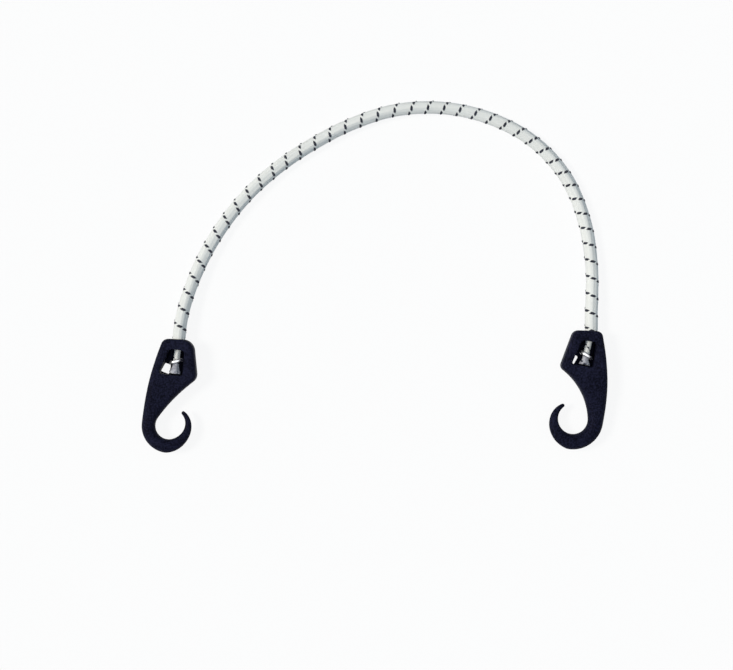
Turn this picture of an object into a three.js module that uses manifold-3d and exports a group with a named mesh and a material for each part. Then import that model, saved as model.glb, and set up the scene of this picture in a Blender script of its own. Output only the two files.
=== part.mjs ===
// A bungee cord: a braided elastic cord laid in an arch, with one moulded hook swivelling on each end.
// Millimetres, +Z up. The cord and both hooks lie on the plane z = 0.
// The origin is on that plane, at the middle of the box round the two hooks.
import * as THREE from "three";
import { mergeVertices } from "three/addons/utils/BufferGeometryUtils.js";
import Module from "manifold-3d";

const wasm = await Module();
wasm.setup();

// Cord
const CORD_DIAMETER = 8;
const SHEATH_WALL = 0.85;
const STRAND_GAP = 0.12;
const OUTER_STRANDS = 6;
const CORD_SIDES = 12;
const STRAND_SIDES = 8;
const CORD_STEPS = 44;
const SETTLE_LENGTH = 62; // how far from a hook the cord takes to come down to the table
const TABLE_GAP = 0.1; // under the faceted cord

// Cord route on the table, between the two hooks
const FREE_ROUTE = [
  [-120.1, 42.3],
  [-116.9, 55.9],
  [-107.5, 80.4],
  [-94.5, 102.7],
  [-78.5, 122.5],
  [-59.5, 139.5],
  [-37.9, 153.9],
  [-14.1, 166.1],
  [13.2, 174.7],
  [42.6, 176.1],
  [72.0, 169.6],
  [98.8, 155.2],
  [119.3, 132.6],
  [130.8, 104.9],
  [135.0, 76.7],
  [135.0, 60.2],
  [134.5, 48.5],
];
const STRAIGHT_LEAD = 0.5; // straight cord outside each hook's mouth

// What the two hooks share
const BORE_CLEARANCE = 0.45;
const BORE_FLARE = 0.5; // rounding of the bore's mouth
const BODY_WALL = 2.55; // over and under the bore
const CHAMBER_ROOF = 6.6; // depth of the bore, from the mouth to the chamber
const CHAMBER_LENGTH = 15.8;
const CHAMBER_SIDE_GAP = 0.75; // beside the cord, where it enters the chamber
const CHAMBER_CORNER = 2.0;
const CHAMBER_BACK = 1.7; // wall behind the chamber
const SLOT_CORNER = 0.5;
const EDGE_ROUND = 1.6; // of the top's edges
const BEND_THICKNESS = 9.4;
const TIP_WIDTH = 2.1;
const TIP_THICKNESS = 2.2;

// What each hook has of its own. Its back is the side away from its opening.
const LEFT_HOOK = {
  mouth: [-121.2, 32.4], // the middle of the bore's mouth, on the table
  lean: 6.6, // degrees that its axis leans from -Y towards -X
  turn: 0, // degrees that it is turned over about its axis
  openFace: 1, // the face that the chamber opens on, +Z or -Z
  topSlant: 4, // degrees that its top rises towards the opening
  topBackRound: 3.0,
  topOpenRound: 6.4,
  shoulderWall: 4.45, // beside the top of the chamber, towards the opening
  noseWall: 8.8, // beside the floor of the chamber, towards the opening
  noseRound: 5.4,
  chamberBackFlare: 4.8, // more width at the chamber's floor, towards the back
  chamberOpenFlare: 0.6, // and towards the opening
  slot: [[-7.0, -15.7], [-9.0, -20.8], [-4.4, -22.2], [-3.7, -16.8]], // through the chamber's back
  shankLength: 31.6, // from the chamber's floor to the centre of the bend
  bendRadius: 8.4,
  bendWidth: 8.5,
  throatRadius: 92, // of the edge from the nose down to the bend
  throatAngle: 29, // degrees above the level of the bend's centre where the throat begins
  backRadius: 187,
  tipAngle: 48, // degrees past the level of the bend's centre
  tipOpening: 2.3, // how far the tip draws away from the bend's circle
  ringDrop: 7.2, // from the chamber's roof to the clamp ring
};
const RIGHT_HOOK = {
  mouth: [134.3, 37.6],
  lean: 11.5,
  turn: 180,
  openFace: -1,
  topSlant: -9,
  topBackRound: 2.8,
  topOpenRound: 3.0,
  shoulderWall: 5.65,
  noseWall: 6.2,
  noseRound: 3.0,
  chamberBackFlare: 0.6,
  chamberOpenFlare: 3.6,
  slot: [[4.5, -17.4], [6.1, -22.2], [7.8, -22.0], [5.9, -16.6]],
  shankLength: 33.6,
  bendRadius: 9.1,
  bendWidth: 9.6,
  throatRadius: 40,
  throatAngle: 13,
  backRadius: 130,
  tipAngle: 42,
  tipOpening: 0.4,
  ringDrop: 8.8,
};

// Clamped end of the cord
const TAIL_INSET = 3.0; // where the free cord passes into its clamped end, inside the bore
const FACE_GAP = 0.3;
const NECK_RADIUS = 2.2;
const RING_WIRE = 2.3;
const RING_SLANT = 20; // degrees
const RING_OPENING = 40; // degrees between the ring's bent ends
const TAIL_FLARE = 3.9;
const TAIL_END_ROUND = 0.8;
const TAIL_FLOOR_GAP = 0.8;

// Worked out from the sizes above
const cordRadius = CORD_DIAMETER / 2;
const boreRadius = cordRadius + BORE_CLEARANCE;
const bodyHalf = boreRadius + BODY_WALL;
const chamberFloor = CHAMBER_ROOF + CHAMBER_LENGTH;
const chamberTopHalf = cordRadius + CHAMBER_SIDE_GAP;
const radians = THREE.MathUtils.degToRad;
const lerp = THREE.MathUtils.lerp;
const smooth = (t) => THREE.MathUtils.smoothstep(t, 0, 1);

const sheathLook = new THREE.MeshStandardMaterial({ color: 0xdfe4e2, roughness: 0.75, metalness: 0 });
const rubberLook = new THREE.MeshStandardMaterial({ color: 0xc9b48c, roughness: 0.8, metalness: 0 });
const plasticLook = new THREE.MeshStandardMaterial({ color: 0x15161f, roughness: 0.55, metalness: 0 });
const metalLook = new THREE.MeshStandardMaterial({ color: 0xc8ccd0, roughness: 0.25, metalness: 1 });

// A closed geometry as a solid that can be cut, and back again.
const MERGE_DISTANCE = 1e-4;
function solidOf(geometry) {
  const bare = geometry.clone();
  bare.deleteAttribute("normal");
  bare.deleteAttribute("uv");
  const merged = mergeVertices(bare, MERGE_DISTANCE);
  const mesh = new wasm.Mesh({
    numProp: 3,
    vertProperties: merged.attributes.position.array,
    triVerts: new Uint32Array(merged.index.array),
  });
  return new wasm.Manifold(mesh);
}

function geometryOf(solid) {
  const mesh = solid.getMesh();
  const geometry = new THREE.BufferGeometry();
  geometry.setAttribute("position", new THREE.BufferAttribute(mesh.vertProperties, 3));
  geometry.setIndex(new THREE.BufferAttribute(mesh.triVerts, 1));
  geometry.computeVertexNormals();
  return geometry;
}

function named(name, geometry, look) {
  const mesh = new THREE.Mesh(geometry, look.clone());
  mesh.name = name;
  return mesh;
}

// A loft through rings of equal point counts, closed with a fan at each end.
function loft(rings) {
  const count = rings[0].length;
  const positions = rings.flat().flatMap((p) => p.toArray());
  const faces = [];
  for (let r = 0; r + 1 < rings.length; r++) {
    for (let i = 0; i < count; i++) {
      const a = r * count + i;
      const b = r * count + ((i + 1) % count);
      faces.push(a, b, a + count, b, b + count, a + count);
    }
  }
  for (const [ring, first] of [[rings[0], 0], [rings.at(-1), (rings.length - 1) * count]]) {
    const centre = new THREE.Vector3();
    ring.forEach((p) => centre.addScaledVector(p, 1 / count));
    const middle = positions.length / 3;
    positions.push(...centre.toArray());
    for (let i = 0; i < count; i++) {
      const a = first + i;
      const b = first + ((i + 1) % count);
      faces.push(...(first ? [a, b, middle] : [b, a, middle]));
    }
  }
  const geometry = new THREE.BufferGeometry();
  geometry.setAttribute("position", new THREE.Float32BufferAttribute(positions, 3));
  geometry.setIndex(faces);
  return geometry;
}

// Hook. Its own frame has the mouth at the origin, the cord leaving along +Y and the opening towards +X.

const onArc = (centre, radius, angle) =>
  new THREE.Vector2(Math.cos(angle), Math.sin(angle)).multiplyScalar(radius).add(centre);

// The edges of a hook's plan.
function hookPlan(form) {
  const bendDepth = chamberFloor + form.shankLength;
  const bendCentre = new THREE.Vector2(0, -bendDepth);
  const bend = (radius, degrees) => onArc(bendCentre, radius, radians(degrees));
  // The throat is an arc that runs into the bend's circle without a corner.
  const throatStart = 180 - form.throatAngle;
  const throatCentre = bend(form.throatRadius - form.bendRadius, -form.throatAngle);
  const noseX = chamberTopHalf + form.chamberOpenFlare + form.noseWall;
  const noseY = throatCentre.y + Math.sqrt(form.throatRadius ** 2 - (throatCentre.x - noseX) ** 2);
  const nose = new THREE.Vector2(noseX, noseY);
  const noseAngle = Math.atan2(noseY - throatCentre.y, noseX - throatCentre.x);
  const throatArc = radians(throatStart) - noseAngle;
  const throat = (t) => onArc(throatCentre, form.throatRadius, noseAngle + t * throatArc);
  const noseShare = form.noseRound / (form.throatRadius * throatArc);
  // The back edge is a long arc, upright where it meets the bend.
  const backX = -(form.bendRadius + form.bendWidth);
  const back = (y) => new THREE.Vector2(backX + (y + bendDepth) ** 2 / (2 * form.backRadius), y);
  const shoulder = new THREE.Vector2(chamberTopHalf + form.shoulderWall, 0);
  const open = (y) => shoulder.clone().lerp(nose, y / nose.y);
  return { bendDepth, bend, throatStart, throat, noseShare, nose, back, open };
}

// One cross-section between an outer and an inner point: a rectangle with round corners across the hook.
const CORNER_POINTS = 4;
function section(outer, inner, half, roundness) {
  const middle = outer.clone().add(inner).multiplyScalar(0.5);
  const across = inner.clone().sub(outer);
  const wide = across.length() / 2;
  across.normalize();
  const corner = roundness * Math.min(wide, half);
  const points = [];
  for (const quarter of [0, 1, 2, 3]) {
    const sideX = quarter === 0 || quarter === 3 ? 1 : -1;
    const sideZ = quarter < 2 ? 1 : -1;
    for (let i = 0; i < CORNER_POINTS; i++) {
      const angle = (quarter + i / (CORNER_POINTS - 1)) * (Math.PI / 2);
      const x = sideX * (wide - corner) + corner * Math.cos(angle);
      const z = sideZ * (half - corner) + corner * Math.sin(angle);
      points.push(new THREE.Vector3(middle.x + across.x * x, middle.y + across.y * x, z));
    }
  }
  return points;
}

const BODY_ROUNDNESS = 0.42;
const BEND_ROUNDNESS = 0.95;
const TOP_RINGS = 6;
const BODY_RINGS = 2;
const NOSE_RINGS = 3;
const THROAT_RINGS = 7;
const BEND_RINGS = 17;
const TIP_RINGS = 2;
const TAPER_START = 0.15; // share of the throat where the hook begins to thin
const OPENING_START = 0.3; // share of the taper where the tip begins to draw away

// How far a round corner stands back at a depth below its top.
const cornerInset = (depth, round) =>
  depth < round ? round - Math.sqrt(round ** 2 - (round - depth) ** 2) : 0;

function hookRings(form) {
  const plan = hookPlan(form);
  const rings = [];
  // Rings that lie along the slanted top, with a round corner at each side
  const slope = Math.tan(radians(form.topSlant));
  const backTop = plan.back(0).x * slope;
  const openTop = plan.open(0).x * slope;
  const topDepth = Math.max(form.topBackRound, form.topOpenRound, EDGE_ROUND);
  for (let i = 0; i < TOP_RINGS; i++) {
    const depth = topDepth * (1 - Math.cos((i / (TOP_RINGS - 1)) * (Math.PI / 2)));
    const outer = plan.back(backTop - depth);
    outer.x += cornerInset(depth, form.topBackRound);
    outer.y = outer.x * slope - depth;
    const inner = plan.open(openTop - depth);
    inner.x -= cornerInset(depth, form.topOpenRound);
    inner.y = inner.x * slope - depth;
    rings.push(section(outer, inner, bodyHalf - cornerInset(depth, EDGE_ROUND), BODY_ROUNDNESS));
  }
  // Down the body to the start of the nose's rounding
  const noseStart = plan.nose.y + form.noseRound;
  for (let i = 1; i <= BODY_RINGS; i++) {
    const t = i / BODY_RINGS;
    const outer = plan.back(lerp(backTop - topDepth, noseStart, t));
    const inner = plan.open(lerp(openTop - topDepth, noseStart, t));
    rings.push(section(outer, inner, bodyHalf, BODY_ROUNDNESS));
  }
  // Round the nose: a curve from the open side into the throat
  const noseEnd = plan.throat(plan.noseShare);
  const noseCurve = new THREE.QuadraticBezierCurve(plan.open(noseStart), plan.nose, noseEnd);
  for (let i = 1; i <= NOSE_RINGS; i++) {
    const t = i / NOSE_RINGS;
    const back = plan.back(lerp(noseStart, plan.nose.y, t));
    rings.push(section(back, noseCurve.getPoint(t), bodyHalf, BODY_ROUNDNESS));
  }
  // Down the throat, where the section narrows and rounds into the bend's
  for (let i = 1; i <= THROAT_RINGS; i++) {
    const t = i / THROAT_RINGS;
    const back = plan.back(lerp(plan.nose.y, -plan.bendDepth, t));
    const half = lerp(bodyHalf, BEND_THICKNESS / 2, smooth((t - TAPER_START) / (1 - TAPER_START)));
    const roundness = lerp(BODY_ROUNDNESS, BEND_ROUNDNESS, smooth(t));
    rings.push(section(back, plan.throat(lerp(plan.noseShare, 1, t)), half, roundness));
  }
  // Round the bend, tapering to the tip
  const endAngle = 360 + form.tipAngle;
  for (let i = 1; i <= BEND_RINGS; i++) {
    const t = i / BEND_RINGS;
    const innerAngle = lerp(plan.throatStart, endAngle, t);
    const outerAngle = lerp(180, endAngle, t);
    const taper = THREE.MathUtils.clamp((outerAngle - 270) / (endAngle - 270), 0, 1);
    const width = lerp(form.bendWidth, TIP_WIDTH, taper);
    const thickness = lerp(BEND_THICKNESS, TIP_THICKNESS, taper);
    const opening = form.tipOpening * smooth((taper - OPENING_START) / (1 - OPENING_START));
    const inner = plan.bend(form.bendRadius + opening, innerAngle);
    const outer = plan.bend(form.bendRadius + opening + width, outerAngle);
    rings.push(section(outer, inner, thickness / 2, BEND_ROUNDNESS));
  }
  // The tip's round end
  const along = new THREE.Vector2(-Math.sin(radians(endAngle)), Math.cos(radians(endAngle)));
  const tipInner = plan.bend(form.bendRadius + form.tipOpening, endAngle);
  const tipOuter = plan.bend(form.bendRadius + form.tipOpening + TIP_WIDTH, endAngle);
  const tipMiddle = tipInner.clone().add(tipOuter).multiplyScalar(0.5);
  for (let i = 1; i <= TIP_RINGS; i++) {
    const angle = (i / (TIP_RINGS + 1)) * (Math.PI / 2);
    const shrink = Math.cos(angle);
    const push = along.clone().multiplyScalar((TIP_WIDTH / 2) * Math.sin(angle));
    const outer = tipMiddle.clone().lerp(tipOuter, shrink).add(push);
    const inner = tipMiddle.clone().lerp(tipInner, shrink).add(push);
    rings.push(section(outer, inner, (TIP_THICKNESS / 2) * shrink, BEND_ROUNDNESS));
  }
  return rings;
}

const CUT_OVERRUN = 2;
const CORNER_STEPS = 4;
const BORE_SIDES = 20;
const BORE_FLARE_STEPS = 3;

// A prism along Z over an outline with rounded corners.
function prism(corners, round, bottom, top) {
  const points = corners.map((corner) => new THREE.Vector2(...corner));
  const shape = new THREE.Shape();
  points.forEach((corner, i) => {
    const before = points.at(i - 1).clone().sub(corner).setLength(round).add(corner);
    const after = points[(i + 1) % points.length].clone().sub(corner).setLength(round).add(corner);
    if (i === 0) shape.moveTo(before.x, before.y);
    else shape.lineTo(before.x, before.y);
    shape.quadraticCurveTo(corner.x, corner.y, after.x, after.y);
  });
  shape.closePath();
  const options = { depth: top - bottom, bevelEnabled: false, curveSegments: CORNER_STEPS };
  return new THREE.ExtrudeGeometry(shape, options).translate(0, 0, bottom);
}

// The chamber is a pocket in one face, narrow at its roof and wide at its floor.
function chamberGeometry(form) {
  const corners = [
    [-chamberTopHalf, -CHAMBER_ROOF],
    [-chamberTopHalf - form.chamberBackFlare, -chamberFloor],
    [chamberTopHalf + form.chamberOpenFlare, -chamberFloor],
    [chamberTopHalf, -CHAMBER_ROOF],
  ];
  const inside = bodyHalf - CHAMBER_BACK;
  const outside = bodyHalf + CUT_OVERRUN;
  const [bottom, top] = form.openFace > 0 ? [-inside, outside] : [-outside, inside];
  return prism(corners, CHAMBER_CORNER, bottom, top);
}

// The slot goes on from the chamber through the other face.
function slotGeometry(form) {
  return prism(form.slot, SLOT_CORNER, -bodyHalf - CUT_OVERRUN, bodyHalf + CUT_OVERRUN);
}

// The bore, with a rounded mouth, from above the hook into the chamber.
function boreGeometry() {
  const flared = boreRadius + BORE_FLARE;
  const bottom = -CHAMBER_ROOF - CUT_OVERRUN;
  const profile = new THREE.Path();
  profile.moveTo(0, bottom);
  profile.lineTo(boreRadius, bottom);
  profile.lineTo(boreRadius, -BORE_FLARE);
  profile.quadraticCurveTo(boreRadius, 0, flared, 0);
  profile.lineTo(flared, CUT_OVERRUN);
  profile.lineTo(0, CUT_OVERRUN);
  return new THREE.LatheGeometry(profile.getPoints(BORE_FLARE_STEPS), BORE_SIDES);
}

function hookGeometry(form) {
  const cuts = [chamberGeometry(form), slotGeometry(form), boreGeometry()];
  return geometryOf(cuts.reduce((body, cut) => body.subtract(solidOf(cut)), solidOf(loft(hookRings(form)))));
}

// Clamped cord end: full in the bore, pinched at the ring and flared below it.
const TAIL_RINGS = 5;
const TAIL_SIDES = 16;
const ringRadius = NECK_RADIUS + FACE_GAP + RING_WIRE / 2;
const neckHalf = RING_WIRE / 2 + ringRadius * Math.sin(radians(RING_SLANT)) + FACE_GAP;

const ringDepth = (form) => CHAMBER_ROOF + form.ringDrop;

function tailGeometry(form) {
  const neckTop = ringDepth(form) - neckHalf;
  const neckFloor = ringDepth(form) + neckHalf;
  const end = chamberFloor - TAIL_FLOOR_GAP;
  const flareEnd = end - TAIL_END_ROUND;
  const stretch = (fromRadius, toRadius, fromDepth, toDepth) => {
    const points = [];
    for (let i = 0; i <= TAIL_RINGS; i++) {
      const t = i / TAIL_RINGS;
      points.push(new THREE.Vector2(lerp(fromRadius, toRadius, smooth(t)), -lerp(fromDepth, toDepth, t)));
    }
    return points;
  };
  const profile = [
    new THREE.Vector2(0, -TAIL_INSET - FACE_GAP),
    new THREE.Vector2(cordRadius, -TAIL_INSET - FACE_GAP),
    ...stretch(cordRadius, NECK_RADIUS, CHAMBER_ROOF, neckTop),
    ...stretch(NECK_RADIUS, TAIL_FLARE, neckFloor, flareEnd),
    new THREE.Vector2(TAIL_FLARE - TAIL_END_ROUND, -end),
    new THREE.Vector2(0, -end),
  ];
  return new THREE.LatheGeometry(profile.reverse(), TAIL_SIDES);
}

// Clamp ring: round wire bent nearly shut about the cord's neck, with its ends behind the cord.
const RING_STEPS = 20;
class RingCurve extends THREE.Curve {
  constructor(openFace) {
    super();
    this.middle = openFace * 90;
  }
  getPoint(t, target = new THREE.Vector3()) {
    const reach = 180 - RING_OPENING / 2;
    const angle = radians(this.middle + lerp(-reach, reach, t));
    return target.set(ringRadius * Math.cos(angle), 0, ringRadius * Math.sin(angle));
  }
}

function polygon(radius, sides, x = 0, y = 0) {
  const points = [];
  for (let i = 0; i < sides; i++) {
    const angle = (i / sides) * 2 * Math.PI;
    points.push(new THREE.Vector2(x + radius * Math.cos(angle), y + radius * Math.sin(angle)));
  }
  return points;
}

function sweep(path, shape, steps) {
  return new THREE.ExtrudeGeometry(shape, { steps, extrudePath: path, bevelEnabled: false });
}

function ringGeometry(form) {
  const wire = new THREE.Shape(polygon(RING_WIRE / 2, STRAND_SIDES));
  const ring = sweep(new RingCurve(form.openFace), wire, RING_STEPS);
  return ring.rotateZ(radians(RING_SLANT)).translate(0, -ringDepth(form), 0);
}

// One end of the cord, placed by its hook's mouth, lean and turn.
function cordEnd(side, form) {
  const end = new THREE.Group();
  end.position.set(...form.mouth, bodyHalf);
  end.rotation.set(0, radians(form.turn), -radians(form.lean), "ZYX");
  end.add(named(side + "_hook", hookGeometry(form), plasticLook));
  end.add(named(side + "_cord_tail", tailGeometry(form), sheathLook));
  end.add(named(side + "_clamp_ring", ringGeometry(form), metalLook));
  end.updateMatrix();
  return end;
}

// The cord's centre line: straight through each mouth, then down on to the table and round the arch.
function cordPath(leftEnd, rightEnd) {
  const lead = (end, y) => new THREE.Vector3(0, y, 0).applyMatrix4(end.matrix);
  const distance = (a, b) => Math.hypot(a[0] - b[0], a[1] - b[1]);
  const free = FREE_ROUTE.map((point) => {
    const nearest = Math.min(distance(point, LEFT_HOOK.mouth), distance(point, RIGHT_HOOK.mouth));
    const away = nearest - STRAIGHT_LEAD;
    const z = lerp(bodyHalf, cordRadius + TABLE_GAP, smooth(away / (SETTLE_LENGTH - STRAIGHT_LEAD)));
    return new THREE.Vector3(point[0], point[1], z);
  });
  const inner = [-TAIL_INSET, STRAIGHT_LEAD];
  const left = inner.map((y) => lead(leftEnd, y));
  const right = inner.map((y) => lead(rightEnd, y)).reverse();
  return new THREE.CatmullRomCurve3([...left, ...free, ...right], false, "centripetal");
}

function sheathShape() {
  const shape = new THREE.Shape(polygon(cordRadius, CORD_SIDES));
  shape.holes.push(new THREE.Path(polygon(cordRadius - SHEATH_WALL, CORD_SIDES).reverse()));
  return shape;
}

// The strands fill the sheath's bore: one in the middle and a ring of others round it, all with the same gap.
const coreRadius = (cordRadius - SHEATH_WALL) * Math.cos(Math.PI / CORD_SIDES);
const strandRadius = (coreRadius - 2 * STRAND_GAP) / 3;
const strandPitch = 2 * strandRadius + STRAND_GAP;

function strandShapes() {
  const centres = [[0, 0]];
  for (let i = 0; i < OUTER_STRANDS; i++) {
    const angle = (i / OUTER_STRANDS) * 2 * Math.PI;
    centres.push([strandPitch * Math.cos(angle), strandPitch * Math.sin(angle)]);
  }
  return centres.map(([x, y]) => new THREE.Shape(polygon(strandRadius, STRAND_SIDES, x, y)));
}

const bungee = new THREE.Group();
bungee.name = "bungee_cord";
const leftEnd = cordEnd("left", LEFT_HOOK);
const rightEnd = cordEnd("right", RIGHT_HOOK);
const path = cordPath(leftEnd, rightEnd);
bungee.add(leftEnd, rightEnd);
bungee.add(named("braided_sheath", sweep(path, sheathShape(), CORD_STEPS), sheathLook));
strandShapes().forEach((shape, i) => {
  bungee.add(named("rubber_strand_" + (i + 1), sweep(path, shape, CORD_STEPS), rubberLook));
});

export default bungee;
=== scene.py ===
"""Dresses a packed bungee cord: braided cover and clamped ends, rubber core, moulded hooks and steel rings.

Sizes are in millimetres in the part's frame, with +Z up and the cord and both hooks lying on z = 0.
Meshes are turned into metres where they are made.
"""
import math
from collections import namedtuple

import bpy
import numpy as np
from mathutils import Matrix, Vector

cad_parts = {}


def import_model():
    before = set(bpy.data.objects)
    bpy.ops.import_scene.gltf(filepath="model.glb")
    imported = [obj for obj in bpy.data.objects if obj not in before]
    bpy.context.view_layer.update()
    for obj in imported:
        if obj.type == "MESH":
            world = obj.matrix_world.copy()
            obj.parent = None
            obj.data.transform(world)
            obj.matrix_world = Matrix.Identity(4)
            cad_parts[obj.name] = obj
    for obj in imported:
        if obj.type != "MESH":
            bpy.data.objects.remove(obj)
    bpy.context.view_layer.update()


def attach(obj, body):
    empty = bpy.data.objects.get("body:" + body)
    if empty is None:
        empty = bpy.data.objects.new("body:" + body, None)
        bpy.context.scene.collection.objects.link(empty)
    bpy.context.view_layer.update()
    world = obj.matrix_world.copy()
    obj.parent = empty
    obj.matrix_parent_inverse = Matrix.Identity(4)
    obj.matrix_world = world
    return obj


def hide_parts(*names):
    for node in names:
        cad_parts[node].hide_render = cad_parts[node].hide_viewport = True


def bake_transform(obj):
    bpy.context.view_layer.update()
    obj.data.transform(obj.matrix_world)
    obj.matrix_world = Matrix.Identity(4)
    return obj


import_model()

MM = 0.001
SHARP_EDGE = math.radians(75)
random = np.random.default_rng(7)

# Cord
CORD_RADIUS = 4.0
TABLE_GAP = 0.1
COVER_PROUD = 0.22  # the relaxed cover stands a little proud of the cord's size
HOOK_SWELL = 0.18  # and more where it enters a hook
SWELL_LENGTH = 45.0
SETTLE_LENGTH = 62.0  # from a hook to where the cord lies on the table
STRAIGHT_LEAD = 0.5
CURVE_STEPS = 40  # between two points of the route
RAIL_STEP = 0.25
ROUTE_POINTS = 80  # of the line along the cord's middle, from hook to hook
FREE_ROUTE = [
    (-120.1, 42.3),
    (-116.9, 55.9),
    (-107.5, 80.4),
    (-94.5, 102.7),
    (-78.5, 122.5),
    (-59.5, 139.5),
    (-37.9, 153.9),
    (-14.1, 166.1),
    (13.2, 174.7),
    (42.6, 176.1),
    (72.0, 169.6),
    (98.8, 155.2),
    (119.3, 132.6),
    (130.8, 104.9),
    (135.0, 76.7),
    (135.0, 60.2),
    (134.5, 48.5),
]

# Braid: two families of yarns that wind opposite ways, each going over two and under two of the other
FAMILY = 12
OVER = 2
PERIOD = 2 * math.pi * OVER / FAMILY  # turn of the braid in which a yarn rises and falls once
FLOAT_TILT = 0.55  # how far a float turns from the braid's slant to lie straight across the cord
END_SLANT = 1.0  # change of a yarn's phase for each millimetre across it, which slants the ends of its floats
LOBES = 6
LOBE_TURN = math.radians(10)  # from a row of dashes to the lobe beside it
LOBE_DEPTH = 0.38  # of the valleys between the lobes that the six outer strands press into the cover
YARN_CROWN = 0.2
YARN_RISE = 0.21
YARN_VARIES = 0.04  # share of a yarn's width
FEWEST_RINGS = 3  # in a yarn
# Width, places of the points across it, steps in a period, height of the floats, and the shares of half a
# period that a float stays up and takes to go down
Kind = namedtuple("Kind", "width columns steps top stay fall")
PLAIN = Kind(0.84, (-1, 0, 1), 4, top=1, stay=0.3, fall=0.4)
TRACER = Kind(1.42, (-1, -0.5, 0, 0.5, 1), 16, top=1.9, stay=0.64, fall=0.14)
LINER_DEPTH = 0.72
LINER_SIDES = 36
LINER_STEP = 3.0
# Length along the cord at which every fourth turn of the tracer passes its first row of dashes
TRACER_TURNS = [10.9, 53.0, 95.0, 137.1, 180.2, 223.1, 263.2, 301.8, 338.6, 377.2, 419.7]
TURNS_BETWEEN = 4
# Twist of the whole cord, as (length, degrees): how far that row lies from the cord's upper side
TWIST = [
    (0, -2), (30, -3), (52, -16), (72, -29), (108, -26), (128, -30), (148, -45), (190, -55), (208, -56),
    (226, -52), (256, -59), (282, -52), (300, -42), (318, -29), (350, -29), (368, -20), (390, -8), (433, -6),
]
# Places of the cord's materials in the list that its pieces share
YARN_LOOK, TRACER_LOOK, LINER_LOOK, THREAD_LOOK, SHADED_TAIL_LOOK = range(5)

# Core
STRANDS = 7
STRAND_RADIUS = 0.93
STRAND_PITCH = 2.0
STRAND_SIDES = 14
STRAND_POINTS = 260
STRAND_INSET = 0.6  # from each end of the cover
STRAND_END = (0.05, 0.8)  # shares of its radius at each end, from the end inward
FIRST_STRAND = math.radians(120)  # turn from the middle of the first lobe to where the strands' count starts

# What the two hooks share
BORE_RADIUS = 4.45
BORE_FLARE = 0.5
BORE_SIDES = 64
BODY_HALF = 7.0
CHAMBER_ROOF = 6.6
CHAMBER_FLOOR = 22.4
CHAMBER_TOP_HALF = 4.75
CHAMBER_CORNER = 2.0
CHAMBER_BACK = 1.7  # wall behind the chamber
SLOT_CORNER = 0.5
EDGE_ROUND = 1.6
BEND_THICKNESS = 9.4
TIP_WIDTH = 2.4
TIP_THICKNESS = 2.4
BODY_ROUNDNESS = 0.42
BEND_ROUNDNESS = 0.95
THINNING_START = 0.15  # share of the throat
TAPER_START = 270  # degrees about the bend
OPENING_START = 0.3  # share of the taper
TIP_END = 0.95  # share of its round end at which the tip is closed with a flat
CUT_OVERRUN = 2.0
CORNER_POINTS = 9  # in each round corner of a section
CUT_CORNER_POINTS = 8
# Steps along the stretches of a hook
TOP_STEPS = 14
FLARE_STEPS = 5
BODY_STEPS = 8
NOSE_STEPS = 12
THROAT_STEPS = 40
BEND_STEPS = 80
TIP_STEPS = 6

# What each hook has of its own, with angles in degrees
Form = namedtuple(
    "Form",
    "mouth lean turn open_face top_slant top_back_round top_open_round shoulder_wall nose_wall nose_round "
    "chamber_back_flare chamber_open_flare slot shank_length bend_radius bend_width throat_radius throat_angle "
    "back_radius tip_angle tip_opening ring_drop",
)
LEFT_HOOK = Form(
    mouth=(-121.2, 32.4), lean=6.6, turn=0, open_face=1,
    top_slant=4, top_back_round=3.0, top_open_round=6.4, shoulder_wall=4.45, nose_wall=8.8, nose_round=3.6,
    chamber_back_flare=4.8, chamber_open_flare=0.6,
    slot=((-7.2, -15.6), (-9.4, -21.0), (-4.2, -22.4), (-3.6, -16.7)),
    shank_length=31.6, bend_radius=8.4, bend_width=8.5,
    throat_radius=103, throat_angle=29, back_radius=187, tip_angle=48, tip_opening=2.3, ring_drop=7.2,
)
RIGHT_HOOK = Form(
    mouth=(134.3, 37.6), lean=11.5, turn=180, open_face=-1,
    top_slant=-9, top_back_round=2.8, top_open_round=3.0, shoulder_wall=5.65, nose_wall=6.2, nose_round=3.0,
    chamber_back_flare=0.6, chamber_open_flare=3.6,
    slot=((4.1, -17.4), (5.7, -22.4), (8.1, -22.2), (6.2, -16.4)),
    shank_length=33.6, bend_radius=9.1, bend_width=9.6,
    throat_radius=40, throat_angle=13, back_radius=130, tip_angle=42, tip_opening=0.4, ring_drop=8.8,
)
HOOK_VOXEL = 0.28
SOFTEN_FACTOR = 0.5
SOFTEN_PASSES = 8

# Clamped end of the cord
TAIL_INSET = 3.0  # depth in the hook at which the cover goes over into the clamped end
TAIL_END = 21.4
TAIL_LENGTH = TAIL_END - TAIL_INSET
TAIL_FLARE = 3.9
TAIL_FRAY = 0.5
TAIL_LINER_STEP = 0.5
PINCH_START, PINCH_END = -1.5, 8.6  # depths in the hook between which the cord narrows to its neck
NECK_RADIUS = 2.24  # of the cord where the ring pinches it
NECK_HALF = 2.4
THREADS = 37
THREAD_SIDES = 10
THREAD_POINTS = 40
THREAD_SPREAD = 0.84  # share of the bundle's radius over which the threads' middles lie
THREAD_FILL = 0.9  # share of its place that a thread takes up
THREAD_CUT = (-0.5, 0.3)  # least and most that a thread stands out of the cord's end
THREAD_END = (0.02, 0.72, 0.94)  # shares of its radius at its cut end, from the end inward
GOLDEN_ANGLE = math.pi * (3 - math.sqrt(5))
RING_WIRE = 2.3
RING_RADIUS = 3.65
RING_SLANT = 20
RING_OPENING = 40
RING_POINTS = 97
RING_SIDES = 24
RING_END = (0.55, 0.97)  # shares of the wire's radius at each end, from the end inward


def smooth(t):
    """From 0 to 1 with a soft start and end."""
    t = np.clip(t, 0, 1)
    return t * t * (3 - 2 * t)


def mix(a, b, t):
    return a + (b - a) * t


# Meshes


def object_of(name, data):
    """A new object in the scene, of a mesh, lamp or camera."""
    thing = bpy.data.objects.new(name, data)
    bpy.context.scene.collection.objects.link(thing)
    return thing


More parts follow.
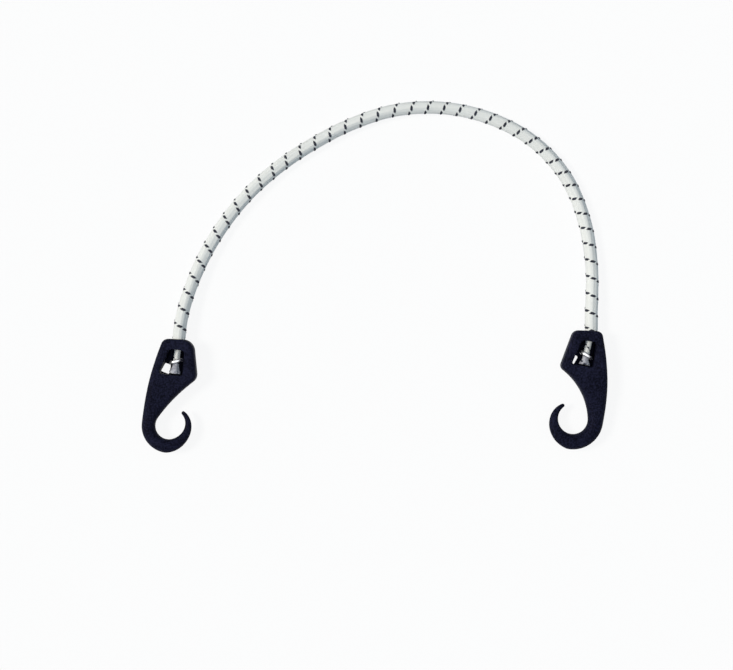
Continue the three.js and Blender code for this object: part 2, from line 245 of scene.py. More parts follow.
class Tubes:
    """Gathers capped tubes, in millimetres, into one mesh, each with its material and its UV.

    A tube is a grid of points whose rows are its rings.
    """

    def __init__(self):
        self.points, self.faces, self.looks, self.uvs = [], [], [], []
        self.count = 0

    def add(self, grid, along, look=0):
        rows, columns = grid.shape[:2]
        index = self.count + np.arange(rows * columns).reshape(rows, columns)
        following = np.roll(index, -1, axis=1)
        quads = np.stack([index[:-1], following[:-1], following[1:], index[1:]], axis=-1).reshape(-1, 4)
        faces = [*quads.tolist(), index[0][::-1].tolist(), index[-1].tolist()]
        self.points.append(grid.reshape(-1, 3))
        self.faces += faces
        self.looks += [look] * len(faces)
        u = np.linspace(0, 1, columns)[None, :].repeat(rows, axis=0)
        v = np.linspace(0, along, rows)[:, None].repeat(columns, axis=1)
        self.uvs.append(np.stack([u, v], axis=-1).reshape(-1, 2))
        self.count += rows * columns

    def mesh(self, name, materials):
        points = np.concatenate(self.points) * MM
        mesh = bpy.data.meshes.new(name)
        mesh.from_pydata(points.tolist(), [], self.faces)
        for material in materials:
            mesh.materials.append(material)
        mesh.polygons.foreach_set("material_index", self.looks)
        uv = mesh.uv_layers.new(name="yarn")
        corners = np.concatenate(self.faces)
        uv.data.foreach_set("uv", np.concatenate(self.uvs)[corners].ravel().astype(np.float32))
        mesh.shade_smooth()
        mesh.set_sharp_from_angle(angle=SHARP_EDGE)
        return mesh


def loft(rings, name):
    """A closed mesh through rings of equal point counts, in millimetres."""
    count = len(rings[0])
    points = np.concatenate(rings)
    faces = []
    for r in range(len(rings) - 1):
        for i in range(count):
            a, b = r * count + i, r * count + (i + 1) % count
            faces.append((a, b, b + count, a + count))
    last = (len(rings) - 1) * count
    faces.append(tuple(range(count))[::-1])
    faces.append(tuple(range(last, last + count)))
    mesh = bpy.data.meshes.new(name)
    mesh.from_pydata(points.tolist(), [], faces)
    return mesh


def tube(centres, radius, sides, u, v):
    """Rings of points round a line, each with its own radius and its cross directions u and v."""
    angle = np.linspace(0, 2 * np.pi, sides, endpoint=False)
    ring = np.cos(angle)[None, :, None] * u[:, None, :] + np.sin(angle)[None, :, None] * v[:, None, :]
    return centres[:, None, :] + radius[:, None, None] * ring


def taper_ends(radius, shares):
    """Narrows a tube's radius by these shares, from each end inward."""
    radius[: len(shares)] *= shares
    radius[-len(shares) :] *= shares[::-1]


# Cord's line

Rail = namedtuple("Rail", "length points side up")


def hook_matrix(form):
    """From a hook's own frame, with its mouth at the origin and the cord along +Y, to the part's."""
    place = Matrix.Translation((*form.mouth, BODY_HALF))
    lean = Matrix.Rotation(-math.radians(form.lean), 4, "Z")
    return np.array(place @ lean @ Matrix.Rotation(math.radians(form.turn), 4, "Y"))


def placed(points, matrix):
    """Points moved by a matrix."""
    return points @ matrix[:3, :3].T + matrix[:3, 3]


def catmull_rom(points, steps):
    """Points on a centripetal Catmull-Rom curve."""
    ends = np.vstack([2 * points[0] - points[1], points, 2 * points[-1] - points[-2]])
    t = np.linspace(0, 1, steps, endpoint=False)[:, None]
    parts = []
    for p0, p1, p2, p3 in zip(ends, ends[1:], ends[2:], ends[3:]):
        d0, d1, d2 = (np.sqrt(np.linalg.norm(b - a)) for a, b in ((p0, p1), (p1, p2), (p2, p3)))
        m1 = d1 * ((p1 - p0) / d0 - (p2 - p0) / (d0 + d1) + (p2 - p1) / d1)
        m2 = d1 * ((p2 - p1) / d1 - (p3 - p1) / (d1 + d2) + (p3 - p2) / d2)
        square = -3 * p1 + 3 * p2 - 2 * m1 - m2
        cube = 2 * p1 - 2 * p2 + m1 + m2
        parts.append(p1 + m1 * t + square * t**2 + cube * t**3)
    return np.vstack([*parts, points[-1:]])


def cord_controls():
    """Points that the cord's line goes through: straight in both hooks, and down onto the table between."""

    def lead(form):
        return [placed(np.array([0, y, 0.0]), hook_matrix(form)) for y in (-TAIL_INSET, STRAIGHT_LEAD)]

    free = []
    for point in FREE_ROUTE:
        away = min(math.dist(point, LEFT_HOOK.mouth), math.dist(point, RIGHT_HOOK.mouth)) - STRAIGHT_LEAD
        z = mix(BODY_HALF, CORD_RADIUS + TABLE_GAP, smooth(away / (SETTLE_LENGTH - STRAIGHT_LEAD)))
        free.append((*point, z))
    return np.array([*lead(LEFT_HOOK), *free, *lead(RIGHT_HOOK)[::-1]])


def cord_rail():
    """The cord's middle from one clamped end to the other; length 0 is where the free cord starts."""
    curve = catmull_rom(cord_controls(), CURVE_STEPS)
    length = np.concatenate([[0], np.cumsum(np.linalg.norm(np.diff(curve, axis=0), axis=1))])
    even = np.linspace(0, length[-1], round(length[-1] / RAIL_STEP) + 1)
    points = np.stack([np.interp(even, length, curve[:, k]) for k in range(3)], axis=1)
    reach = np.arange(RAIL_STEP, TAIL_LENGTH + RAIL_STEP, RAIL_STEP)[:, None]
    first = hook_matrix(LEFT_HOOK)[:3, 1]
    last = -hook_matrix(RIGHT_HOOK)[:3, 1]
    points = np.vstack([points[0] - reach[::-1] * first, points, points[-1] + reach * last])
    whole = np.concatenate([-reach[::-1, 0], even, even[-1] + reach[:, 0]])
    along = np.gradient(points, axis=0)
    along /= np.linalg.norm(along, axis=1)[:, None]
    side = np.cross(along, (0, 0, 1))
    side /= np.linalg.norm(side, axis=1)[:, None]
    return Rail(whole, points, side, np.cross(side, along)), even[-1]


rail, CORD_LENGTH = cord_rail()


def on_rail(name, length):
    """The rail's points or one of its cross directions, at lengths along it."""
    values = getattr(rail, name)
    return np.stack([np.interp(length, rail.length, values[:, k]) for k in range(3)], axis=-1)


def round_cord(length, angle, radius):
    """Points about the cord's middle: angle 0 is its upper side, and a quarter turn is its right side."""
    out = np.cos(angle)[..., None] * on_rail("up", length) + np.sin(angle)[..., None] * on_rail("side", length)
    return on_rail("points", length) + radius[..., None] * out


def through(x, xs, ys):
    """A smooth curve through a table's points, straight beyond its ends."""
    xs, ys = np.asarray(xs, float), np.asarray(ys, float)
    slope = np.gradient(ys, xs)
    i = np.clip(np.searchsorted(xs, x) - 1, 0, len(xs) - 2)
    wide = xs[i + 1] - xs[i]
    t = np.clip((x - xs[i]) / wide, 0, 1)
    curve = (
        (1 + 2 * t) * (1 - t) ** 2 * ys[i] + t * (1 - t) ** 2 * wide * slope[i]
        + t**2 * (3 - 2 * t) * ys[i + 1] - t**2 * (1 - t) * wide * slope[i + 1]
    )
    return curve + np.minimum(x - xs[0], 0) * slope[0] + np.maximum(x - xs[-1], 0) * slope[-1]


turn_at = through(rail.length, TRACER_TURNS, 2 * np.pi * TURNS_BETWEEN * np.arange(len(TRACER_TURNS)))
twist_at = np.radians(through(rail.length, *zip(*TWIST)))


def cord_radius(length):
    """The cord's radius: full outside the hooks, pinched at each ring and flared at each end."""
    depth = np.maximum(-length, length - CORD_LENGTH) + TAIL_INSET
    ring_drop = np.where(length < CORD_LENGTH / 2, LEFT_HOOK.ring_drop, RIGHT_HOOK.ring_drop)
    pinch = smooth((depth - PINCH_START) / (PINCH_END - PINCH_START))
    neck_floor = CHAMBER_ROOF + ring_drop + NECK_HALF
    flare = smooth((depth - neck_floor) / (TAIL_END - neck_floor))
    free = CORD_RADIUS + COVER_PROUD + HOOK_SWELL * smooth(1 + (depth - TAIL_INSET) / SWELL_LENGTH)
    return mix(mix(free, NECK_RADIUS, pinch), TAIL_FLARE, flare)


# Cord's pieces


def lobe(length, angle):
    """How far the cover stands in between the lobes, where no strand lies under it."""
    across = angle - np.interp(length, rail.length, twist_at) - LOBE_TURN
    return LOBE_DEPTH * (1 - np.cos(across * LOBES)) / 2


def rise(kind, phase):
    """A yarn's height at a phase: at its top about phase 0, and down between."""
    away = np.abs((phase / np.pi + 1) % 2 - 1)
    return mix(kind.top, -1, smooth((away - kind.stay) / kind.fall))


def yarn(tubes, kind, width, look, way, turn, angle, phase):
    """One closed yarn with a round back, laid on the cord where the braid has made these turns."""
    length = np.interp(turn, turn_at, rail.length)
    length -= FLOAT_TILT * np.gradient(length, phase) * np.sin(phase)
    full = cord_radius(length)
    share = full / CORD_RADIUS
    step_along = np.gradient(length)
    step_round = np.gradient(angle) * full
    step = np.hypot(step_along, step_round)

    def line(column):
        reach = column * width / 2 * share
        lengths = length - reach * step_round / step
        angles = angle + reach * step_along / step / full
        lift = YARN_RISE * (rise(kind, phase - way * END_SLANT * reach) - 1) - YARN_CROWN * column**2
        return round_cord(lengths, angles, full + (lift - lobe(lengths, angles)) * share)

    grid = np.stack([line(column) for column in kind.columns], axis=1)
    tubes.add(grid, float(np.sum(step)), look)


def braid(tubes, start, end, plain=YARN_LOOK, fray=0.0):
    """Both families of yarns from one length of the cord to another, with uneven ends where it frays."""
    for way in (-1, 1):
        for i in range(FAMILY):
            ends = np.array([start, end], float)
            if fray:
                ends[0 if start < 0 else 1] += random.uniform(-1, 1) * fray
            kind, look = (TRACER, TRACER_LOOK) if way < 0 and i == 0 else (PLAIN, plain)
            first, last = np.interp(ends, rail.length, turn_at)
            rings = round((last - first) / PERIOD * kind.steps) + 1
            turn = np.linspace(first, last, max(FEWEST_RINGS, rings))
            angle = np.interp(turn, turn_at, twist_at) + way * turn + i * 2 * np.pi / FAMILY
            phase = turn / PERIOD * 2 * np.pi + i * np.pi
            if way > 0:
                angle += np.pi / FAMILY
                phase -= np.pi / 2
            width = kind.width * random.uniform(1 - YARN_VARIES, 1 + YARN_VARIES)
            yarn(tubes, kind, width, look, way, turn, angle, phase)


def liner(tubes, start, end, spacing):
    """The closed inner face of the braid, seen only between yarns, in a grey that paints the shade in the gaps.
    """
    length = np.linspace(start, end, round((end - start) / spacing) + 1)[:, None]
    angle = np.linspace(0, 2 * np.pi, LINER_SIDES, endpoint=False)[None, :]
    share = cord_radius(length) / CORD_RADIUS
    radius = share * (CORD_RADIUS - LINER_DEPTH - lobe(length, angle))
    grid = round_cord(length + 0 * angle, angle + 0 * length, radius)
    tubes.add(grid, end - start, LINER_LOOK)


def cover():
    """The braid over the cord from hook to hook."""
    tubes = Tubes()
    braid(tubes, 0, CORD_LENGTH)
    liner(tubes, 0, CORD_LENGTH, LINER_STEP)
    return tubes


def thread_places(count):
    """Places of threads packed evenly in a round bundle of radius 1, as distance and angle."""
    k = np.arange(count) + 0.5
    return np.sqrt(k / count) * THREAD_SPREAD, k * GOLDEN_ANGLE


def tail(start, end, ring):
    """A clamped end: the braid through the ring, painted shade on the braid beyond it in dark mottled grey, and
    the cut rubber threads inside.
    """
    tubes = Tubes()
    at_start = start < 0
    white, shaded_part = ((ring, end), (start, ring)) if at_start else ((start, ring), (ring, end))
    braid(tubes, *white)
    # The braid beyond the ring takes the painted shade of the tail's look
    braid(tubes, *shaded_part, plain=SHADED_TAIL_LOOK, fray=TAIL_FRAY)
    liner(tubes, start, end, TAIL_LINER_STEP)
    for far, angle in zip(*thread_places(THREADS)):
        cut = random.uniform(*THREAD_CUT)
        ends = (start - cut, end) if at_start else (start, end + cut)
        length = np.linspace(*ends, THREAD_POINTS)
        inside = cord_radius(length) * (1 - LINER_DEPTH / CORD_RADIUS)
        middle = round_cord(length, np.full(THREAD_POINTS, angle), far * inside)
        thick = THREAD_FILL * inside / math.sqrt(THREADS)
        from_cut = thick if at_start else thick[::-1]
        from_cut[: len(THREAD_END)] *= THREAD_END
        grid = tube(middle, thick, THREAD_SIDES, on_rail("up", length), on_rail("side", length))
        tubes.add(grid, end - start, THREAD_LOOK)
    return tubes


def strand(i):
    """One strand of the rubber core: the outer six lie under the cover's lobes."""
    tubes = Tubes()
    length = np.linspace(STRAND_INSET, CORD_LENGTH - STRAND_INSET, STRAND_POINTS)
    first = np.interp(length, rail.length, twist_at) + LOBE_TURN + FIRST_STRAND
    angle = first + i * 2 * np.pi / (STRANDS - 1)
    far = np.full_like(length, STRAND_PITCH if i else 0.0)
    middle = round_cord(length, angle, far)
    thick = np.full_like(length, STRAND_RADIUS)
    taper_ends(thick, STRAND_END)
    grid = tube(middle, thick, STRAND_SIDES, on_rail("up", length), on_rail("side", length))
    tubes.add(grid, CORD_LENGTH)
    return tubes


# Hooks


def on_arc(centre, radius, degrees):
    angle = math.radians(degrees)
    return centre + radius * np.array([math.cos(angle), math.sin(angle)])


class Plan:
    """The edges of a hook's plan, in its own frame."""

    def __init__(self, form):
        self.form = form
        self.bend_depth = CHAMBER_FLOOR + form.shank_length
        self.bend_centre = np.array([0, -self.bend_depth])
        self.throat_start = 180 - form.throat_angle
        self.throat_centre = self.bend(form.throat_radius - form.bend_radius, -form.throat_angle)
        nose_x = CHAMBER_TOP_HALF + form.chamber_open_flare + form.nose_wall
        x, y = self.throat_centre
        self.nose = np.array([nose_x, y + math.sqrt(form.throat_radius**2 - (x - nose_x) ** 2)])
        self.nose_angle = math.degrees(math.atan2(self.nose[1] - y, nose_x - x))
        self.throat_arc = self.throat_start - self.nose_angle
        self.nose_share = form.nose_round / (form.throat_radius * math.radians(self.throat_arc))

    def bend(self, radius, degrees):
        return on_arc(self.bend_centre, radius, degrees)

    def throat(self, t):
        return on_arc(self.throat_centre, self.form.throat_radius, self.nose_angle + t * self.throat_arc)

    def back(self, y):
        x = -(self.form.bend_radius + self.form.bend_width)
        return np.array([x + (y + self.bend_depth) ** 2 / (2 * self.form.back_radius), y])

    def open(self, y):
        shoulder = np.array([CHAMBER_TOP_HALF + self.form.shoulder_wall, 0])
        return mix(shoulder, self.nose, y / self.nose[1])


def section(outer, inner, half, roundness):
    """A cross-section between two points of the plan: a rectangle with round corners across the hook."""
    middle = (outer + inner) / 2
    across = inner - outer
    wide = np.linalg.norm(across) / 2
    across = across / (2 * wide)
    corner = roundness * min(wide, half)
    points = []
    for quarter, (side_x, side_z) in enumerate(((1, 1), (-1, 1), (-1, -1), (1, -1))):
        for i in range(CORNER_POINTS):
            angle = (quarter + i / (CORNER_POINTS - 1)) * math.pi / 2
            x = side_x * (wide - corner) + corner * math.cos(angle)
            z = side_z * (half - corner) + corner * math.sin(angle)
            points.append((*(middle + across * x), z))
    return np.array(points)


def corner_inset(depth, size):
    """How far a round corner of this size stands in at a depth below it."""
    return size - math.sqrt(size**2 - (size - depth) ** 2) if depth < size else 0.0


def steps(count):
    """Shares of the way along a stretch, from just past its start to its end."""
    return (i / count for i in range(1, count + 1))


def hook_rings(form):
    """The sections of a hook's body, from its top round the bend to its tip."""
    plan = Plan(form)
    rings = []
    slope = math.tan(math.radians(form.top_slant))
    back_top, open_top = plan.back(0)[0] * slope, plan.open(0)[0] * slope
    top_depth = max(form.top_back_round, form.top_open_round, EDGE_ROUND)
    # Along the slanted top, with a round corner at each side
    for t in (0, *steps(TOP_STEPS)):
        depth = top_depth * (1 - math.cos(t * math.pi / 2))
        outer, inner = plan.back(back_top - depth), plan.open(open_top - depth)
        outer[0] += corner_inset(depth, form.top_back_round)
        inner[0] -= corner_inset(depth, form.top_open_round)
        outer[1], inner[1] = outer[0] * slope - depth, inner[0] * slope - depth
        rings.append(section(outer, inner, BODY_HALF - corner_inset(depth, EDGE_ROUND), BODY_ROUNDNESS))
    # Down the body and round the nose
    nose_start = plan.nose[1] + form.nose_round
    for t in steps(BODY_STEPS):
        outer = plan.back(mix(back_top - top_depth, nose_start, t))
        inner = plan.open(mix(open_top - top_depth, nose_start, t))
        rings.append(section(outer, inner, BODY_HALF, BODY_ROUNDNESS))
    for t in steps(NOSE_STEPS):
        inner = (
            (1 - t) ** 2 * plan.open(nose_start) + 2 * t * (1 - t) * plan.nose
            + t**2 * plan.throat(plan.nose_share)
        )
        outer = plan.back(mix(nose_start, plan.nose[1], t))
        rings.append(section(outer, inner, BODY_HALF, BODY_ROUNDNESS))
    # Down the throat, where the section narrows and rounds into the bend's
    for t in steps(THROAT_STEPS):
        outer = plan.back(mix(plan.nose[1], -plan.bend_depth, t))
        half = mix(BODY_HALF, BEND_THICKNESS / 2, smooth((t - THINNING_START) / (1 - THINNING_START)))
        roundness = mix(BODY_ROUNDNESS, BEND_ROUNDNESS, smooth(t))
        rings.append(section(outer, plan.throat(mix(plan.nose_share, 1, t)), half, roundness))
    # Round the bend, tapering to a round tip
    end = 360 + form.tip_angle
    for t in steps(BEND_STEPS):
        angle = mix(180, end, t)
        taper = float(np.clip((angle - TAPER_START) / (end - TAPER_START), 0, 1))
        near = form.bend_radius + form.tip_opening * smooth((taper - OPENING_START) / (1 - OPENING_START))
        outer = plan.bend(near + mix(form.bend_width, TIP_WIDTH, taper), angle)
        inner = plan.bend(near, mix(plan.throat_start, end, t))
        rings.append(section(outer, inner, mix(BEND_THICKNESS, TIP_THICKNESS, taper) / 2, BEND_ROUNDNESS))
    onward = np.array([-math.sin(math.radians(end)), math.cos(math.radians(end))])
    near = form.bend_radius + form.tip_opening
    middle = plan.bend(near + TIP_WIDTH / 2, end)
    for t in steps(TIP_STEPS):
        shrink = math.cos(t * math.pi / 2 * TIP_END)
        push = onward * TIP_WIDTH / 2 * math.sin(t * math.pi / 2)
        outer = mix(middle, plan.bend(near + TIP_WIDTH, end), shrink) + push
        inner = mix(middle, plan.bend(near, end), shrink) + push
        rings.append(section(outer, inner, TIP_THICKNESS / 2 * shrink, BEND_ROUNDNESS))
    return rings


def prism_rings(corners, size, bottom, top):
    """A cutter along Z over an outline with rounded corners."""
    corners = np.array(corners)
    outline = []
    for i, corner in enumerate(corners):
        before, after = corners[i - 1] - corner, corners[(i + 1) % len(corners)] - corner
        before *= size / np.linalg.norm(before)
        after *= size / np.linalg.norm(after)
        for t in np.linspace(0, 1, CUT_CORNER_POINTS):
            outline.append(corner + (1 - t) ** 2 * before + t**2 * after)
    outline = np.array(outline)
    return [np.column_stack([outline, np.full(len(outline), z)]) for z in (bottom, top)]


def chamber_rings(form):
    """The chamber's cutter, a pocket in one face: narrow at its roof and wide at its floor."""
    corners = [
        (-CHAMBER_TOP_HALF, -CHAMBER_ROOF),
        (-CHAMBER_TOP_HALF - form.chamber_back_flare, -CHAMBER_FLOOR),
        (CHAMBER_TOP_HALF + form.chamber_open_flare, -CHAMBER_FLOOR),
        (CHAMBER_TOP_HALF, -CHAMBER_ROOF),
    ]
    inside, outside = BODY_HALF - CHAMBER_BACK, BODY_HALF + CUT_OVERRUN
    bottom, top = (-inside, outside) if form.open_face > 0 else (-outside, inside)
    return prism_rings(corners, CHAMBER_CORNER, bottom, top)


def slot_rings(form):
    """The slot's cutter, right through the hook where the chamber is."""
    half = BODY_HALF + CUT_OVERRUN
    return prism_rings(form.slot, SLOT_CORNER, -half, half)


def bore_rings():
    """The bore's cutter, with a rounded mouth."""
    profile = [(BORE_RADIUS, -CHAMBER_ROOF - CUT_OVERRUN), (BORE_RADIUS, -BORE_FLARE)]
    for t in steps(FLARE_STEPS):
        profile.append((BORE_RADIUS + t**2 * BORE_FLARE, -((1 - t) ** 2) * BORE_FLARE))
    profile.append((BORE_RADIUS + BORE_FLARE, CUT_OVERRUN))
    angle = np.linspace(0, 2 * np.pi, BORE_SIDES, endpoint=False)
    return [np.column_stack([r * np.sin(angle), np.full(BORE_SIDES, y), r * np.cos(angle)]) for r, y in profile]


def evaluated_mesh(thing, name):
    """A copy of a thing's mesh with its modifiers applied; the thing itself goes."""
    seen = thing.evaluated_get(bpy.context.evaluated_depsgraph_get())
    mesh = bpy.data.meshes.new_from_object(seen)
    mesh.name = name
    discard(thing)
    return mesh


def discard(thing):
    mesh = thing.data
    bpy.data.objects.remove(thing)
    bpy.data.meshes.remove(mesh)


def hook(name, form, material):
    """A hook as one moulding: its body less the chamber, slot and bore, with every edge softly rounded."""
    body = object_of(name, loft(hook_rings(form), name))
    cuts = (chamber_rings(form), slot_rings(form), bore_rings())
    cutters = [object_of("cutter", loft(rings, "cutter")) for rings in cuts]
    for cutter in cutters:
        cut = body.modifiers.new("cut", "BOOLEAN")
        cut.operation = "DIFFERENCE"
        cut.solver = "EXACT"
        cut.object = cutter
    remesh = body.modifiers.new("skin", "REMESH")
    remesh.mode = "VOXEL"
    remesh.voxel_size = HOOK_VOXEL
    soften = body.modifiers.new("soften", "SMOOTH")
    soften.factor = SOFTEN_FACTOR
    soften.iterations = SOFTEN_PASSES
    mesh = evaluated_mesh(body, name)
    for cutter in cutters:
        discard(cutter)
    mesh.transform(Matrix.Scale(MM, 4) @ Matrix(hook_matrix(form).tolist()))
    mesh.materials.clear()
    mesh.materials.append(material)
    mesh.shade_smooth()
    return object_of(name, mesh)


# Rings


def clamp_ring(form):
    """Round wire bent nearly shut about the cord's neck, with its chamfered ends behind the cord."""
    tubes = Tubes()
    reach = 180 - RING_OPENING / 2
    turn = np.radians(np.linspace(-reach, reach, RING_POINTS) + form.open_face * 90)
    out = np.stack([np.cos(turn), np.zeros(RING_POINTS), np.sin(turn)], axis=1)
    axis = np.tile((0.0, 1.0, 0.0), (RING_POINTS, 1))
    thick = np.full(RING_POINTS, RING_WIRE / 2)
    taper_ends(thick, RING_END)
    grid = tube(RING_RADIUS * out, thick, RING_SIDES, out, axis)
    drop = Matrix.Translation((0, -CHAMBER_ROOF - form.ring_drop, 0))
    slant = np.array(drop @ Matrix.Rotation(math.radians(RING_SLANT), 4, "Z"))
    grid = placed(placed(grid, slant), hook_matrix(form))
    tubes.add(grid, 2 * math.pi * RING_RADIUS)
    return tubes


# Materials


class Nodes:
    """Builds the nodes of a material or a world, each made by its type with its inputs given by name."""

    def __init__(self, owner):
        owner.use_nodes = True
        self.owner = owner
        self.tree = owner.node_tree

    def add(self, kind, inputs=(), **settings):
        node = self.tree.nodes.new("ShaderNode" + kind)
        for key, value in settings.items():
            setattr(node, key, value)
        self.set(node, dict(inputs))
        return node

    def set(self, node, inputs):
        for key, value in inputs.items():
            if isinstance(value, bpy.types.NodeSocket):
                self.tree.links.new(value, node.inputs[key])
            else:
                node.inputs[key].default_value = value

    def ramp(self, factor, *two_stops):
        node = self.add("ValToRGB", {"Fac": factor})
        for point, (place, colour) in zip(node.color_ramp.elements, two_stops):
            point.position = place
            point.color = (*colour, 1)
        return node.outputs["Color"]

    def noise(self, vector, scale, detail):
        inputs = {"Vector": vector, "Scale": scale, "Detail": detail}
        return self.add("TexNoise", inputs).outputs["Fac"]

    def stretched(self, vector, x, y, z):
        node = self.add("Mapping", {"Vector": vector})
        node.inputs["Scale"].default_value = (x, y, z)
        return node.outputs["Vector"]

    def bump(self, height, distance, strength):
        inputs = {"Height": height, "Distance": distance, "Strength": strength}
        return self.add("Bump", inputs).outputs["Normal"]

    def coordinates(self, name):
        return self.add("TexCoord").outputs[name]

    def shade(self, inputs):
        """Gives the main shader its inputs and returns the material."""
        self.set(self.tree.nodes["Principled BSDF"], inputs)
        return self.owner


def material_nodes(name):
    return Nodes(bpy.data.materials.new(name))


def yarn_material(name, dark, light, roughness, sheen, patch=90.0):
    """A flat yarn of fine filaments, with slow changes of tone along it."""
    n = material_nodes(name)
    uv = n.coordinates("UV")
    filaments = n.noise(n.stretched(uv, 9.0, 0.35, 1.0), 1.0, detail=2.0)
    patches = n.noise(n.coordinates("Object"), patch, detail=2.0)
    tone = n.add("MixRGB", {"Fac": 0.45, "Color1": filaments, "Color2": patches}).outputs["Color"]
    return n.shade({
        "Base Color": n.ramp(tone, (0.3, dark), (0.7, light)),
        "Roughness": roughness,
        "Sheen Weight": sheen,
        "Sheen Roughness": 0.6,
        "Specular IOR Level": 0.3,
        "Normal": n.bump(filaments, 0.00006, 0.6),
    })


def rubber_material():
    """Pale natural rubber with a dusting of talc."""
    n = material_nodes("core_rubber")
    place = n.coordinates("Object")
    dust = n.noise(place, 700.0, detail=5.0)
    return n.shade({
        "Base Color": n.ramp(dust, (0.35, (0.42, 0.31, 0.18)), (0.75, (0.62, 0.54, 0.4))),
        "Roughness": 0.7,
        "Specular IOR Level": 0.35,
        "Normal": n.bump(dust, 0.00005, 0.5),
    })


def plastic_material():
    """Near-black moulded plastic with a fine speckle."""
    n = material_nodes("hook_plastic")
    place = n.coordinates("Object")
    speckle = n.noise(place, 1100.0, detail=2.0)
    cloud = n.noise(place, 90.0, detail=3.0)
    tone = n.add("MixRGB", {"Fac": 0.25, "Color1": speckle, "Color2": cloud}).outputs["Color"]
    return n.shade({
        "Base Color": n.ramp(tone, (0.4, (0.0005, 0.0009, 0.0035)), (0.62, (0.0135, 0.0145, 0.034))),
        "Roughness": n.add("MapRange", {"Value": speckle, "To Min": 0.5, "To Max": 0.66}).outputs["Result"],
        "Specular IOR Level": 0.05,
        "Specular Tint": (0.8, 0.75, 1.0, 1),
        "Normal": n.bump(speckle, 0.00006, 0.5),
    })


def steel_material():
    """Bright drawn wire with fine scratches along it."""
    n = material_nodes("ring_steel")
    uv = n.coordinates("UV")
    drawn = n.noise(n.stretched(uv, 40.0, 0.6, 1.0), 1.0, detail=3.0)
    spots = n.noise(n.coordinates("Object"), 900.0, detail=3.0)
    rough = n.add("MapRange", {"Value": drawn, "To Min": 0.3, "To Max": 0.45}).outputs["Result"]
    return n.shade({
        "Base Color": n.ramp(spots, (0.3, (0.74, 0.75, 0.77)), (0.6, (0.9, 0.91, 0.93))),
        "Metallic": 1.0,
        "Roughness": rough,
        "Normal": n.bump(drawn, 0.00003, 0.4),
    })


# Stage, light and camera

FLOOR_SIZE = 8.0  # in metres
FLOOR_HEIGHT = -0.25  # under the cover's lowest yarns
FLOOR_CLEAR = 0.9  # share of the white behind it in the floor as it is seen, and of a hook that dips below
FLOOR_PAPER = (0.95, 0.95, 0.95, 1)  # the rest, which takes the shadow
FLOOR_BOUNCE = (0.76, 0.8, 0.84, 1)  # what it sends back onto the object
WORLD_LIGHT = 0.23
WORLD_COLOUR = (0.68, 0.85, 1.0, 1)
# Each lamp's direction from the object, spread in degrees, level where it meets a face squarely, and colour
KEY = ((-0.85, 0.1, 1.0), 16, 0.65, (1.0, 0.965, 0.9))
FILL = ((0.0, 0.0, 1.0), 40, 0.16, (0.76, 0.89, 1.0))
VIEW_CENTRE = (-4.9, 35.0)  # what the middle of the frame looks at
VIEW_WIDTH = 454.5
VIEW_HEIGHT_ABOVE = 1200.0
SENSOR_WIDTH = 36.0


def seen_directly(n):
    """1 for the rays that show the background: those from the camera, and through gloss and glass."""
    rays = n.add("LightPath").outputs
    most = rays["Is Camera Ray"]
    for name in ("Is Glossy Ray", "Is Transmission Ray"):
        most = n.add("Math", {0: most, 1: rays[name]}, operation="MAXIMUM").outputs["Value"]
    return most


def floor():
    """A pale sheet that takes the object's shadow and is nearly clear over the white behind it."""
    half = FLOOR_SIZE / 2
    mesh = bpy.data.meshes.new("floor")
    corners = [(-half, -half), (half, -half), (half, half), (-half, half)]
    mesh.from_pydata([(x, y, FLOOR_HEIGHT * MM) for x, y in corners], [], [(0, 1, 2, 3)])
    n = material_nodes("floor")
    n.tree.nodes.remove(n.tree.nodes["Principled BSDF"])
    seen = seen_directly(n)
    colour = n.add("MixRGB", {"Fac": seen, "Color1": FLOOR_BOUNCE, "Color2": FLOOR_PAPER})
    paper = n.add("BsdfDiffuse", {"Color": colour.outputs["Color"]})
    clear = n.add("BsdfTransparent")
    share = n.add("Math", {0: seen, 1: FLOOR_CLEAR}, operation="MULTIPLY").outputs["Value"]
    both = n.add("MixShader", {0: share, 1: paper.outputs[0], 2: clear.outputs[0]})
    n.set(n.tree.nodes["Material Output"], {"Surface": both.outputs[0]})
    mesh.materials.append(n.owner)
    thing = object_of("floor", mesh)


def world():
    """Soft cool light from all round, and plain white wherever the background is seen."""
    n = Nodes(bpy.data.worlds.new("studio"))
    bpy.context.scene.world = n.owner
    light = n.tree.nodes["Background"]
    n.set(light, {"Color": WORLD_COLOUR, "Strength": WORLD_LIGHT})
    white = n.add("Background", {"Color": (1, 1, 1, 1), "Strength": 1.0})
    both = n.add("MixShader", {0: seen_directly(n), 1: light.outputs[0], 2: white.outputs[0]})
    n.set(n.tree.nodes["World Output"], {"Surface": both.outputs[0]})


def lamp(name, direction, spread, level, colour):
    """A broad, distant lamp, which lights the whole floor alike. Level 1 shows a white face as white."""
    light = bpy.data.lights.new(name, "SUN")
    light.angle = math.radians(spread)
    light.energy = level * math.pi
    light.color = colour
    thing = object_of(name, light)
    thing.location = direction
    thing.rotation_euler = (-Vector(direction)).to_track_quat("-Z", "Y").to_euler()


def camera():
    """Looks straight down on the object."""
    data = bpy.data.cameras.new("camera")
    data.sensor_width = SENSOR_WIDTH
    data.lens = SENSOR_WIDTH * (VIEW_HEIGHT_ABOVE - BODY_HALF) / VIEW_WIDTH
    thing = object_of("camera", data)
    thing.location = [value * MM for value in (*VIEW_CENTRE, VIEW_HEIGHT_ABOVE)]
    bpy.context.scene.camera = thing


# The scene

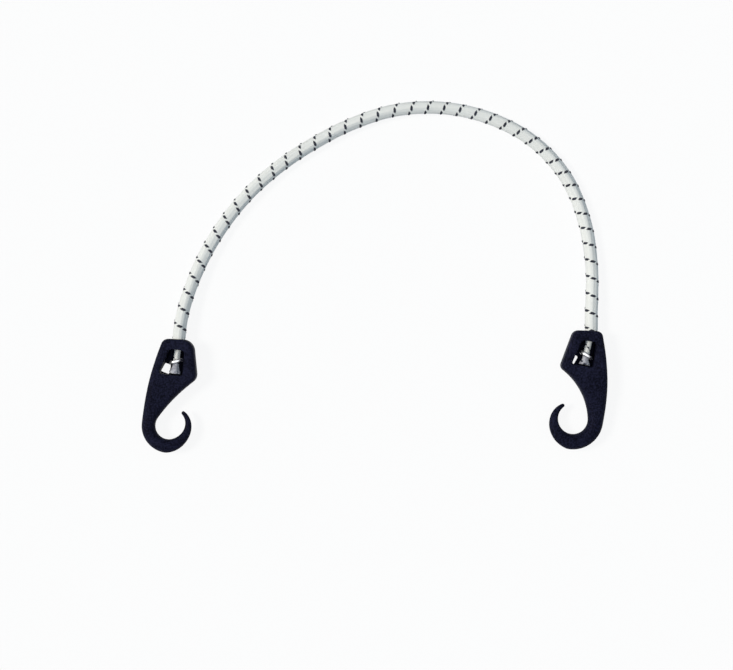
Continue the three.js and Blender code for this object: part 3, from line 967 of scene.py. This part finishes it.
white_yarn = yarn_material("sheath_yarn", (0.9, 0.885, 0.845), (0.96, 0.95, 0.91), 0.8, 0.05)
tracer_yarn = yarn_material("tracer_yarn", (0.003, 0.004, 0.01), (0.014, 0.016, 0.034), 0.6, 0.05)
# Painted shade: the braid's inner face is grey, for the shade in the gaps between yarns
gap_shade_yarn = yarn_material("gap_shade_yarn", (0.3, 0.29, 0.28), (0.45, 0.44, 0.42), 0.9, 0.0)
# Painted shade: the clamped end beyond the ring is dark grey, mottled at random with near-white, for the shade
# deep in the hook's chamber
shaded_tail_yarn = yarn_material("shaded_tail_yarn", (0.1, 0.09, 0.16), (0.9, 0.9, 0.92), 0.85, 0.0, patch=500.0)
rubber = rubber_material()
plastic = plastic_material()
steel = steel_material()
yarns = [white_yarn, tracer_yarn, gap_shade_yarn, rubber, shaded_tail_yarn]

sheath = object_of("sheath_braid", cover().mesh("sheath_braid", yarns))
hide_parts("braided_sheath")

strands = []
for i in range(STRANDS):
    piece = object_of(f"core_strand_{i + 1}", strand(i).mesh(f"core_strand_{i + 1}", [rubber]))
    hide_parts(f"rubber_strand_{i + 1}")
    strands.append(piece)

for piece in (sheath, *strands):
    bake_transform(piece)

on_cord = []
for side, form, body, reach in (
    ("left", LEFT_HOOK, "cord", (-TAIL_LENGTH, 0)),
    ("right", RIGHT_HOOK, "right_end", (CORD_LENGTH, CORD_LENGTH + TAIL_LENGTH)),
):
    ring_depth = CHAMBER_ROOF + form.ring_drop - TAIL_INSET
    ring_at = -ring_depth if side == "left" else CORD_LENGTH + ring_depth
    end_piece = object_of(f"{side}_tail_braid", tail(*reach, ring_at).mesh(f"{side}_tail_braid", yarns))
    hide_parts(f"{side}_cord_tail")
    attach(end_piece, body)
    ring = object_of(f"{side}_ring_wire", clamp_ring(form).mesh(f"{side}_ring_wire", [steel]))
    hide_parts(f"{side}_clamp_ring")
    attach(ring, body)
    moulding = hook(f"{side}_hook_moulding", form, plastic)
    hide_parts(f"{side}_hook")
    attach(moulding, f"{side}_hook")
    on_cord += [end_piece, ring]

route = on_rail("points", np.linspace(0, CORD_LENGTH, ROUTE_POINTS)) * MM

floor()
world()
lamp("key", *KEY)
lamp("fill", *FILL)
camera()
bpy.context.scene.view_settings.view_transform = "Standard"
